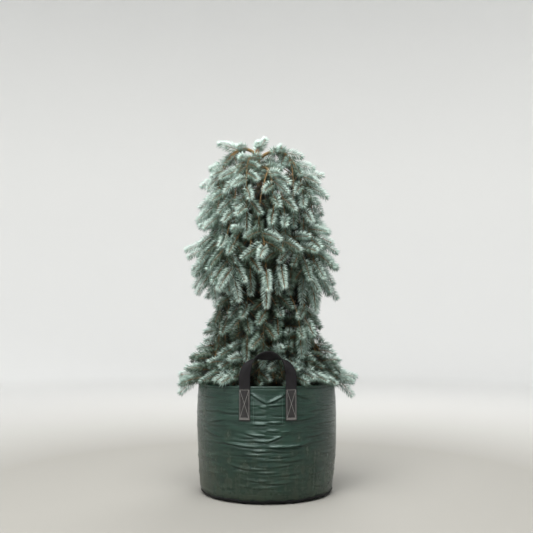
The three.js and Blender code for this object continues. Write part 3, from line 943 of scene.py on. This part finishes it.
def add_shoot(root, direction, length, level, tone, parting, apart, bend=0.14, fullness=1.0):
    """Keeps one shoot, as a bent axis from its root. A shorter one, or one turned aside, is tried
    where it would run into the bag or come closer than apart to another shoot."""
    global kept_points
    side = unit(np.cross(direction, [0.3, 0.2, 1.0]))
    for shorter, swing in shoot_tries:
        span = length * shorter
        heading = unit(direction + side * swing)
        middle = root + heading * span * 0.5
        tip = root + unit(heading + np.array([0, 0, -bend])) * span
        shoot = dict(root=root, middle=middle, tip=tip, length=span, level=level, tone=tone,
                     parting=parting, fullness=fullness)
        points = axis_points(shoot, spacing_shares)
        if len(kept_points):
            gaps = np.linalg.norm(points[:, None] - kept_points[None], axis=2).min(axis=1)
            if (gaps[1:] < apart).any() or gaps[0] < apart * 0.5:
                continue
        past_tip = tip + unit(tip - middle) * bag_margin
        tested = [*axis_points(shoot, clear_shares), past_tip]
        if all(clear_of_bag(point, bag_margin) for point in tested):
            kept_points = np.concatenate([kept_points, points])
            shoots.append(shoot)
            return shoot
    return None


def axis_points(shoot, shares):
    """Points along a shoot's bent axis."""
    s = np.asarray(shares)[:, None]
    return shoot["root"] * (1 - s) ** 2 + shoot["middle"] * 2 * s * (1 - s) + shoot["tip"] * s ** 2


def side_shoots(parent, count, share, tone, apart):
    """Shorter shoots in pairs along a shoot, in the plane that faces out."""
    axis = unit(parent["tip"] - parent["root"])
    side = unit(np.cross(axis, parent["parting"]))
    for k in range(count):
        along = 0.1 + 0.3 * (k // 2) + 0.12 * rig.rand()
        root = parent["root"] + (parent["tip"] - parent["root"]) * along
        hand = 1 if k % 2 else -1
        spread = unit(side * hand + parent["parting"] * rig.uniform(-0.1, 0.8))
        angle = math.radians(rig.uniform(46, 66))
        direction = unit(axis * math.cos(angle) + spread * math.sin(angle))
        length = parent["length"] * share * rig.uniform(0.85, 1.15) * (1 - 0.2 * along)
        add_shoot(root, direction, length, parent["level"] + 1, tone, parent["parting"], apart)


def strand_shoots(strand, chosen):
    """The source's rule for shoots on a strand: a fan turned by the golden share from one to the next.
    chosen says which of them are made now, so that the outer ones all come before the inner ones."""
    points, across, count = strand["points"], strand["across"], strand["count"]
    first, last = strand["first"], strand["last"]
    for k in reversed(range(count + 1)):
        is_tip = k == count
        jitter = np.random.RandomState(strand["seed"] * 100 + k)
        t = first + (last - first) * (k + jitter.uniform(-0.3, 0.3) * (0 < k < count)) / count
        root = curve_point(points, t)
        along = curve_tangent(points, t)
        outward = unit(np.cross(along, across))
        sideways = np.cross(along, outward)
        spin = shoot_fan * (2 * ((k * golden_share) % 1) - 1) + 0.5 * (jitter.rand() - 0.5)
        inward = 0.0 if is_tip else 0.5 - 0.5 * math.cos(spin)
        if not chosen(inward, is_tip):
            continue
        spread = outward * math.cos(spin) + sideways * math.sin(spin)
        angle = 0.0 if is_tip else math.radians(strand["angle"]) * jitter.uniform(0.8, 1.2)
        grown = 0.62 + 0.38 * min(1, t / 0.7)
        length = strand["shoot_length"] * grown * (1 - 0.3 * inward) * jitter.uniform(0.84, 1.1)
        direction = along * math.cos(angle) + spread * math.sin(angle)
        direction = unit(direction - np.array([0, 0, strand["droop"]]))
        if root[2] > level_above:
            direction = unit(np.array([direction[0], direction[1], min(direction[2], 0.15)]))
        root_radius = math.hypot(root[0], root[1])
        if is_tip and strand["on_rim"]:
            direction = unit(np.array([root[0], root[1], -0.1 * root_radius]))
        facing = unit(outward + np.array([0, 0, 0.25]) + 0.5 * jitter.uniform(-1, 1, 3))
        # Shoots that look into the crown get darker tones, partly older needles and partly painted shade;
        # those at the top and over the rim are kept paler
        tone = 2.6 * inward + jitter.uniform(-0.2, 0.9) + strand["tone"]
        if root[2] > young_above or (root[2] < bag_height + 20 and root_radius > overhang_radius):
            tone = min(tone, 1.4)
        apart = 37 if inward < 0.5 else 26
        apart -= 4 * strand["on_rim"]
        grown_shoot = add_shoot(root, direction, length, 1, tone, facing, apart)
        if grown_shoot and strand["branches"] and inward < 0.5 and grown_shoot["length"] > 56:
            side_shoots(grown_shoot, 2, 0.62, tone + jitter.uniform(-0.3, 0.5), apart)


def branchlet_of(limb, t, turn, tip_drop, reach_share, flare):
    """A finer strand that leaves a limb, swings sideways about the trunk and hangs beside it."""
    points = limb["points"]
    foot = curve_point(points, t)
    turned = Matrix.Rotation(math.radians(turn), 3, "Z")
    shift = np.array([limb["tier"]["shift"], 0.0, 0.0])
    if np.linalg.norm((points[3] - shift)[:2]) > overhang_radius:
        # This limb hangs over the rim, so its finer strands lie on the rim and go no lower
        flare, tip_drop = 1.0, 0.0

    def swung(point, share):
        return np.array(turned @ Vector((point - shift) * np.array([share, share, 1]))) + shift

    end = swung(points[3], reach_share * flare)
    end[2] -= tip_drop
    shoulder = swung(points[2], reach_share)
    shoulder[2] -= 200 * (flare - 1)
    leaving = foot + curve_tangent(points, t) * 45 + (shoulder - foot) * 0.25
    across = np.array(turned @ Vector(limb["across"]))
    return dict(limb, points=[foot, leaving, shoulder, end], across=across)


# The strands: each limb's own, its finer ones, which leave it at a share of its length and swing aside
# by a share of the space to the next limb, and old dark ones that end in the bag's mouth, on the mix
strands = []


def add_strand(limb, look, count, first, last, thick=(2.5, 1.2), start=0.0):
    strands.append(dict(limb, **look, count=count, first=first, last=last, thick=thick, start=start,
                        seed=len(strands) + 1))


for limb in limbs:
    tier = limb["tier"]
    habit = habits[tier["name"]]
    on_rim = tier["name"] == "skirt"
    look = dict(shoot_length=tier["shoot_length"] * habit["length"], droop=habit["droop"],
                angle=habit["angle"], tone=habit["tone"], branches=True, on_rim=on_rim)
    add_strand(limb, look, 26, 0.1, 0.975, (3.5, 1.5), max(tier["bough_share"], 0.02))
    spacing = 360 / tier["count"]
    fine_ones = [(0.2, 0.34), (0.34, -0.34)]
    if on_rim:
        fine_ones += [(0.46, 0.17), (0.52, -0.17), (0.3, 0.5)]
    depth_share = 1 + 0.08 * abs(limb["out"][1]) ** 3
    for t, aside in fine_ones:
        turn = spacing * aside * rig.uniform(0.82, 1.18)
        drop = rig.uniform(*habit["drop"])
        reach = rig.uniform(*habit["reach"]) * depth_share
        add_strand(branchlet_of(limb, t, turn, drop, reach, habit["flare"]), look, 18, 0.24, 0.96)
    if on_rim:
        for aside in (-0.25, 0.25, 0.5):
            hidden = branchlet_of(limb, 0.4, spacing * aside, 36 + 12 * aside, 0.92, 1.2)
            add_strand(hidden, dict(look, tone=1.7, droop=-0.4), 14, 0.4, 0.98)

# The leader ends in three upright shoots. After them come the shoots that reach out of the crown: each
# one's limb, its place along it, its heading and its length
for heading, length, below in (
    ((0.1, -0.3, 1.0), 26, 4),
    ((0.7, -0.1, 1.0), 50, 6),
    ((0.1, 0.6, 0.8), 32, 14),
):
    root = trunk_axis(trunk_top - below)
    add_shoot(root, unit(np.array(heading)), length, 1, 0.3, unit(np.array([0.2, -1.0, 0.2])), 1, 0.0)
for index, t, heading, length in (
    (0, 0.3, (-1.0, -0.1, 0.42), 72),
    (0, 0.6, (-1.0, -0.2, -0.05), 44),
    (0, 0.66, (-0.8, -0.3, -0.9), 78),
    (0, 0.92, (-0.85, -0.2, -0.7), 92),
    (4, 0.5, (1.0, -0.2, 0.06), 98),
    (4, 0.62, (0.9, -0.3, -0.3), 90),
    (4, 0.92, (0.85, -0.2, -0.7), 108),
    (15, 0.56, (-1.0, -0.1, -0.2), 146),
    (15, 0.76, (-0.8, -0.2, -0.7), 124),
    (11, 0.6, (1.0, -0.2, -0.35), 100),
    (11, 0.8, (1.0, -0.1, -0.6), 100),
    (23, 0.96, (-1.0, -0.2, 0.1), 66),
    (23, 1.0, (-0.76, -0.2, -0.62), 88),
    (27, 0.96, (1.0, -0.2, 0.04), 78),
    (27, 1.0, (0.72, -0.25, -0.72), 92),
):
    root = curve_point(limbs[index]["points"], t)
    add_shoot(root, unit(np.array(heading)), length, 1, 0.2, unit(np.array([0, -1.0, 0.6])), 12, 0.1)

# First every strand's tip, then the shoots that look out of the crown, then those that look in
for chosen in (lambda inward, is_tip: is_tip,
               lambda inward, is_tip: not is_tip and inward < 0.5,
               lambda inward, is_tip: inward >= 0.5):
    for number in rig.permutation(len(strands)):
        strand_shoots(strands[number], chosen)

# Small old shoots at the ends of the lowest strands, which close the bag's mouth
mouth_radius = 226.0
for strand in [strand for strand in strands if strand["on_rim"]]:
    for t in (0.72, 0.8, 0.88, 0.94, 1.0):
        root = curve_point(strand["points"], t)
        if math.hypot(root[0], root[1]) > mouth_radius:
            continue
        out = unit(np.array([root[0], root[1], 0.0]))
        aside = np.array([-out[1], out[0], 0.0]) * rig.uniform(-0.9, 0.9)
        heading = unit(out + aside + np.array([0, 0, rig.uniform(-0.4, 0.1)]))
        facing = unit(out + np.array([0, 0, 1.0]))
        add_shoot(root, heading, rig.uniform(50, 64), 2, 1.2 + 1.4 * rig.rand(), facing, 21)

# Short inner shoots on the trunk itself, old, and dealt the darkest tones as painted shade, that close the
# crown's middle
inner_shoots = 170
inner_foot, inner_top = 440, 1190
for k in range(inner_shoots):
    z = inner_foot + (inner_top - inner_foot) * (k + rig.rand()) / inner_shoots
    bearing = k * golden_turn
    out = np.array([math.cos(bearing), math.sin(bearing), -0.35])
    root = trunk_axis(z) + unit(out) * trunk_radius(z) * 0.8
    add_shoot(root, unit(out + 0.2 * rig.uniform(-1, 1, 3)), rig.uniform(80, 130), 1, 3.9 + rig.rand(),
              unit(out), 15, 0.3, 0.8)


def tube_arrays(centres, radii, sides):
    """Vertices and triangles of a closed tube through centres: a twig of few faces."""
    centres = np.asarray(centres, float)
    ahead = np.gradient(centres, axis=0)
    ahead /= np.linalg.norm(ahead, axis=1)[:, None]
    helper = np.array([1.0, 0, 0]) if abs(ahead[0][2]) > 0.8 else np.array([0, 0, 1.0])
    across = np.cross(ahead, helper)
    across /= np.linalg.norm(across, axis=1)[:, None]
    third = np.cross(ahead, across)
    angles = np.arange(sides) * 2 * np.pi / sides
    rings = (centres[:, None] + np.asarray(radii)[:, None, None] * (
        across[:, None] * np.cos(angles)[None, :, None] + third[:, None] * np.sin(angles)[None, :, None]))
    verts = np.concatenate([rings.reshape(-1, 3), centres[:1], centres[-1:]])
    count = len(centres)
    k = np.arange(sides)
    following = (k + 1) % sides
    faces = []
    for ring in range(count - 1):
        low, high = ring * sides, (ring + 1) * sides
        faces.append(np.stack([low + k, low + following, high + following], 1))
        faces.append(np.stack([low + k, high + following, high + k], 1))
    foot, top = count * sides, count * sides + 1
    faces.append(np.stack([following, k, np.full(sides, foot)], 1))
    last = (count - 1) * sides
    faces.append(np.stack([last + k, last + following, np.full(sides, top)], 1))
    return verts, np.concatenate(faces)


def joined(parts):
    """Many (vertices, triangles) pairs as one pair."""
    offset = 0
    verts, faces = [], []
    for some_verts, some_faces in parts:
        verts.append(some_verts)
        faces.append(some_faces + offset)
        offset += len(some_verts)
    return np.concatenate(verts), np.concatenate(faces)


def array_piece(name, verts, faces, material, slot, nodes):
    """A piece from arrays of vertices in millimetres and triangles, smooth all over."""
    mesh = bpy.data.meshes.new(name)
    mesh.vertices.add(len(verts))
    mesh.vertices.foreach_set("co", (np.asarray(verts) * MM).astype(np.float32).ravel())
    mesh.loops.add(faces.size)
    mesh.loops.foreach_set("vertex_index", faces.astype(np.int32).ravel())
    mesh.polygons.add(len(faces))
    mesh.polygons.foreach_set("loop_start", np.arange(0, faces.size, 3, dtype=np.int32))
    mesh.update(calc_edges=True)
    part_piece(name, mesh, material, nodes)


foliage_nodes = [f"foliage_{limb['name']}" for limb in limbs] + ["foliage_leader"]
strand_rings = 22
strand_parts = []
for strand in strands:
    shares = np.linspace(strand["start"], 1.0, strand_rings)
    centres = [curve_point(strand["points"], t) for t in shares]
    radii = np.linspace(*strand["thick"], strand_rings)
    strand_parts.append(tube_arrays(centres, radii * rig.uniform(0.9, 1.12, strand_rings), 8))
array_piece("strand_bark", *joined(strand_parts), bough_bark, "bark", foliage_nodes)

twig_parts = []
bud_parts = []
for shoot in shoots:
    thick = 1.5 if shoot["level"] == 1 else 1.15
    thick *= 0.75 + 0.25 * shoot["length"] / 110
    axis = axis_points(shoot, (0, 0.33, 0.66, 1.0))
    twig_parts.append(tube_arrays(axis, np.array([1, 0.9, 0.75, 0.55]) * thick, 5))
    ahead = unit(shoot["tip"] - shoot["middle"])
    bud = [shoot["tip"] + ahead * d for d in (-1.0, 1.5, 4.0, 6.0)]
    bud_parts.append(tube_arrays(bud, (1.2, 2.0, 1.5, 0.3), 5))


def plain_finish(name, colour, roughness):
    """Wood or needles too fine for a pattern: one colour, which a joined mass of them keeps."""
    material, _, shader = new_material(name, roughness)
    shader.inputs["Base Color"].default_value = (*colour, 1.0)
    return material


twig_orange = plain_finish("twig_orange", linear(122, 92, 56), 0.7)
bud_brown = plain_finish("bud_brown", linear(150, 108, 72), 0.6)
array_piece("side_twigs", *joined(twig_parts), twig_orange, "bark", foliage_nodes)
array_piece("twig_buds", *joined(bud_parts), bud_brown, "bark", foliage_nodes)


# Needles: stiff and pointed, set all round each twig in crowded rings and swept forward, and parted along
# the side that faces out. Young ones carry a pale blue wax; it wears off the old ones, which go green.
# The darker tones are also painted shade: they go to needles that face down and to shoots deep in the
# crown, and the darkest one is near black.
needle_length = 30.0
needle_width = 2.7
needles_per_mm = 1.35
tip_needles = 13
clump_pitch = 10.5
clump_share = 1.0
foot_angle = 64
tones = [
    ("frosted", linear(188, 207, 198)),
    ("pale_blue", linear(138, 161, 150)),
    ("blue_grey", linear(91, 112, 95)),
    ("teal", linear(47, 61, 42)),
    # The darkest tone, near black: the green of old needles and painted shade for the crown's inside
    ("shaded_old_green", linear(17, 22, 10)),
]


def needles_of(shoot):
    """Roots, directions, lengths and tones of one shoot's needles."""
    sides = int(shoot["length"] * needles_per_mm * shoot["fullness"])
    s = 0.04 + 0.96 * (np.arange(sides) + 0.5) / sides
    wave_share = clump_pitch / (2 * np.pi * shoot["length"])
    s = np.clip(s - clump_share * wave_share * np.sin(s / wave_share), 0.02, 1.0)
    s = np.concatenate([s, np.full(tip_needles, 1.0)])
    count = len(s)
    axis = axis_points(shoot, s)
    first_half, second_half = shoot["middle"] - shoot["root"], shoot["tip"] - shoot["middle"]
    tangent = first_half * (1 - s)[:, None] + second_half * s[:, None]
    tangent /= np.linalg.norm(tangent, axis=1)[:, None]
    face = shoot["parting"] - tangent * (tangent @ shoot["parting"])[:, None]
    face /= np.linalg.norm(face, axis=1)[:, None]
    side = np.cross(tangent, face)
    gap = math.radians(rig.uniform(2, 20))
    turn = wrapped(np.arange(count) * golden_turn + rig.uniform(-0.3, 0.3, count))
    turn = np.sign(turn) * (gap + (np.pi - gap) * np.abs(turn) / np.pi)
    radial = face * np.cos(turn)[:, None] + side * np.sin(turn)[:, None]
    angle = foot_angle - 6 * s - 12 * s ** 8 + rig.uniform(-4, 4, count)
    angle[sides:] = rig.uniform(10, 46, tip_needles)
    angle = np.radians(angle)
    direction = tangent * np.cos(angle)[:, None] + radial * np.sin(angle)[:, None]
    fullest = np.sin(np.pi * np.clip(s * 1.2 + 0.1, 0, 1))
    length = needle_length * (0.78 + 0.22 * fullest) * rig.uniform(0.92, 1.04, count)
    length[sides:] *= 0.82
    # Needles that face up are dealt paler tones and those that face down darker ones, partly the wax on the
    # upper side and partly painted light and shade, and the shoot's tip paler tones than its foot
    upper = radial[:, 2] * 1.0 + (s - 0.5) * 1.2
    ring = np.round(s * shoot["length"] / clump_pitch).astype(int)
    ring_tone = 0.7 * ((ring * 0.618) % 1 - 0.5)
    tone = shoot["tone"] + 0.5 - upper + ring_tone + rig.normal(0, 0.35, count)
    return axis + radial * 0.9, direction, length, tangent, tone


def needle_arrays(roots, directions, lengths, tangents):
    """Each needle as a closed three-sided spindle of six triangles, bent a little forward."""
    count = len(roots)
    across = np.cross(directions, tangents)
    across /= np.linalg.norm(across, axis=1)[:, None]
    third = np.cross(directions, across)
    waist = roots + directions * (lengths * 0.5)[:, None]
    tips = roots + directions * lengths[:, None] + tangents * (lengths * 0.14)[:, None]
    verts = np.empty((count, 5, 3))
    verts[:, 0] = roots
    for corner in range(3):
        angle = 2 * np.pi * corner / 3
        ring = across * math.cos(angle) + third * math.sin(angle)
        verts[:, 1 + corner] = waist + ring * (needle_width / 2)
    verts[:, 4] = tips
    pattern = np.array([[1, 2, 4], [2, 3, 4], [3, 1, 4], [2, 1, 0], [3, 2, 0], [1, 3, 0]])
    faces = (np.arange(count) * 5)[:, None, None] + pattern[None]
    return verts.reshape(-1, 3), faces.reshape(-1, 3)


shade_steps = 6.5
shade_within = 0.8
shade_below = 1270.0


def depth_shade_steps(reach_up=70, reach_round=math.radians(24)):
    """How far in each shoot lies from the crown's outside near it, as steps of darker tone: painted shade
    for the crown's depth. The open top of the crown is left without it and keeps its young colour all
    through."""
    middles = np.array([shoot["middle"] for shoot in shoots])
    tips = np.array([shoot["tip"] for shoot in shoots])
    bearing = np.arctan2(tips[:, 1], tips[:, 0])
    radius = np.hypot(tips[:, 0], tips[:, 1])
    steps = []
    for middle, tip, angle in zip(middles, tips, bearing):
        near = (np.abs(tips[:, 2] - tip[2]) < reach_up) & (np.abs(wrapped(bearing - angle)) < reach_round)
        outside = np.percentile(radius[near], 88)
        closed = min(1.0, max(0.0, (shade_below - tip[2]) / 120))
        share_out = math.hypot(middle[0], middle[1]) / outside
        steps.append(shade_steps * closed * max(0.0, shade_within - share_out))
    return steps


# Painted shade: shoots deep in the crown move to darker tones
for shoot, step in zip(shoots, depth_shade_steps()):
    shoot["tone"] += step
gathered = [needles_of(shoot) for shoot in shoots]
roots, directions, lengths, tangents, tone_values = (np.concatenate(column) for column in zip(*gathered))
tone_numbers = np.clip(np.round(tone_values), 0, len(tones) - 1).astype(int)
most_needles = 33000
for number, (name, colour) in enumerate(tones):
    material = plain_finish(f"needle_{name}", colour, 0.62)
    chosen = np.flatnonzero(tone_numbers == number)
    chunks = max(1, math.ceil(len(chosen) / most_needles))
    for part, some in enumerate(np.array_split(chosen, chunks), 1):
        verts, faces = needle_arrays(roots[some], directions[some], lengths[some], tangents[some])
        array_piece(f"needles_{name}_{part}", verts, faces, material, "needles", foliage_nodes)


# Floor and light: a pale studio floor that sweeps up into a round backdrop, an overcast sky that is
# brightest overhead, and large soft lamps above, in front and behind.
def plain_floor():
    """A pale grey that grows lighter away from the lamps, so that it looks even."""
    material, tree, shader = new_material("pale_floor", 0.9)
    distance = tree.nodes.new("ShaderNodeVectorMath")
    distance.operation = "LENGTH"
    tree.links.new(object_place(tree), distance.inputs[0])
    away = map_range(tree, distance.outputs["Value"], 1.2, 5.6)
    tree.links.new(mix_colour(tree, away, linear(132, 130, 124), linear(240, 240, 238)),
              shader.inputs["Base Color"])
    return material


sweep_start, sweep_radius, wall_top = 5200.0, 2400.0, 5200.0
floor_level = -0.5
floor_profile = [(0.0, floor_level), (sweep_start, floor_level)]
for degrees in range(6, 91, 6):
    angle = math.radians(degrees)
    floor_profile.append((sweep_start + sweep_radius * math.sin(angle),
                          sweep_radius * (1 - math.cos(angle)) + floor_level))
floor_profile.append((sweep_start + sweep_radius, wall_top))
floor_shape = ring_profile(floor_profile, 96)
floor_mesh = bpy.data.meshes.new("studio_floor")
floor_shape.to_mesh(floor_mesh)
floor_shape.free()
floor = smooth_object("studio_floor", floor_mesh, plain_floor())

world = bpy.data.worlds.new("soft_sky")
world.use_nodes = True
sky_tree = world.node_tree
sky = sky_tree.nodes["Background"]
direction = sky_tree.nodes.new("ShaderNodeTexCoord").outputs["Generated"]
(upward,) = axis_of(sky_tree, direction, "Z")
sky_grey = ramp_node(sky_tree, upward, [(0.0, (0.26, 0.27, 0.28)), (0.9, (0.94, 0.97, 1.0))])
sky_tree.links.new(sky_grey, sky.inputs["Color"])
sky.inputs["Strength"].default_value = 0.4
bpy.context.scene.world = world

for name, place, size, power in (
    ("overhead", (-0.4, -1.5, 4.9), 3.0, 412.0),
    ("high_front", (-1.5, -3.2, 2.7), 1.6, 88.0),
    ("high_back", (0.6, 2.4, 3.2), 2.0, 92.0),
):
    lamp_data = bpy.data.lights.new(name, "AREA")
    lamp_data.size = size
    lamp_data.energy = power
    lamp = bpy.data.objects.new(name, lamp_data)
    lamp.location = place
    lamp.rotation_euler = (Vector((0, 0, 0.8)) - Vector(place)).to_track_quat("-Z", "Y").to_euler()
    bpy.context.scene.collection.objects.link(lamp)
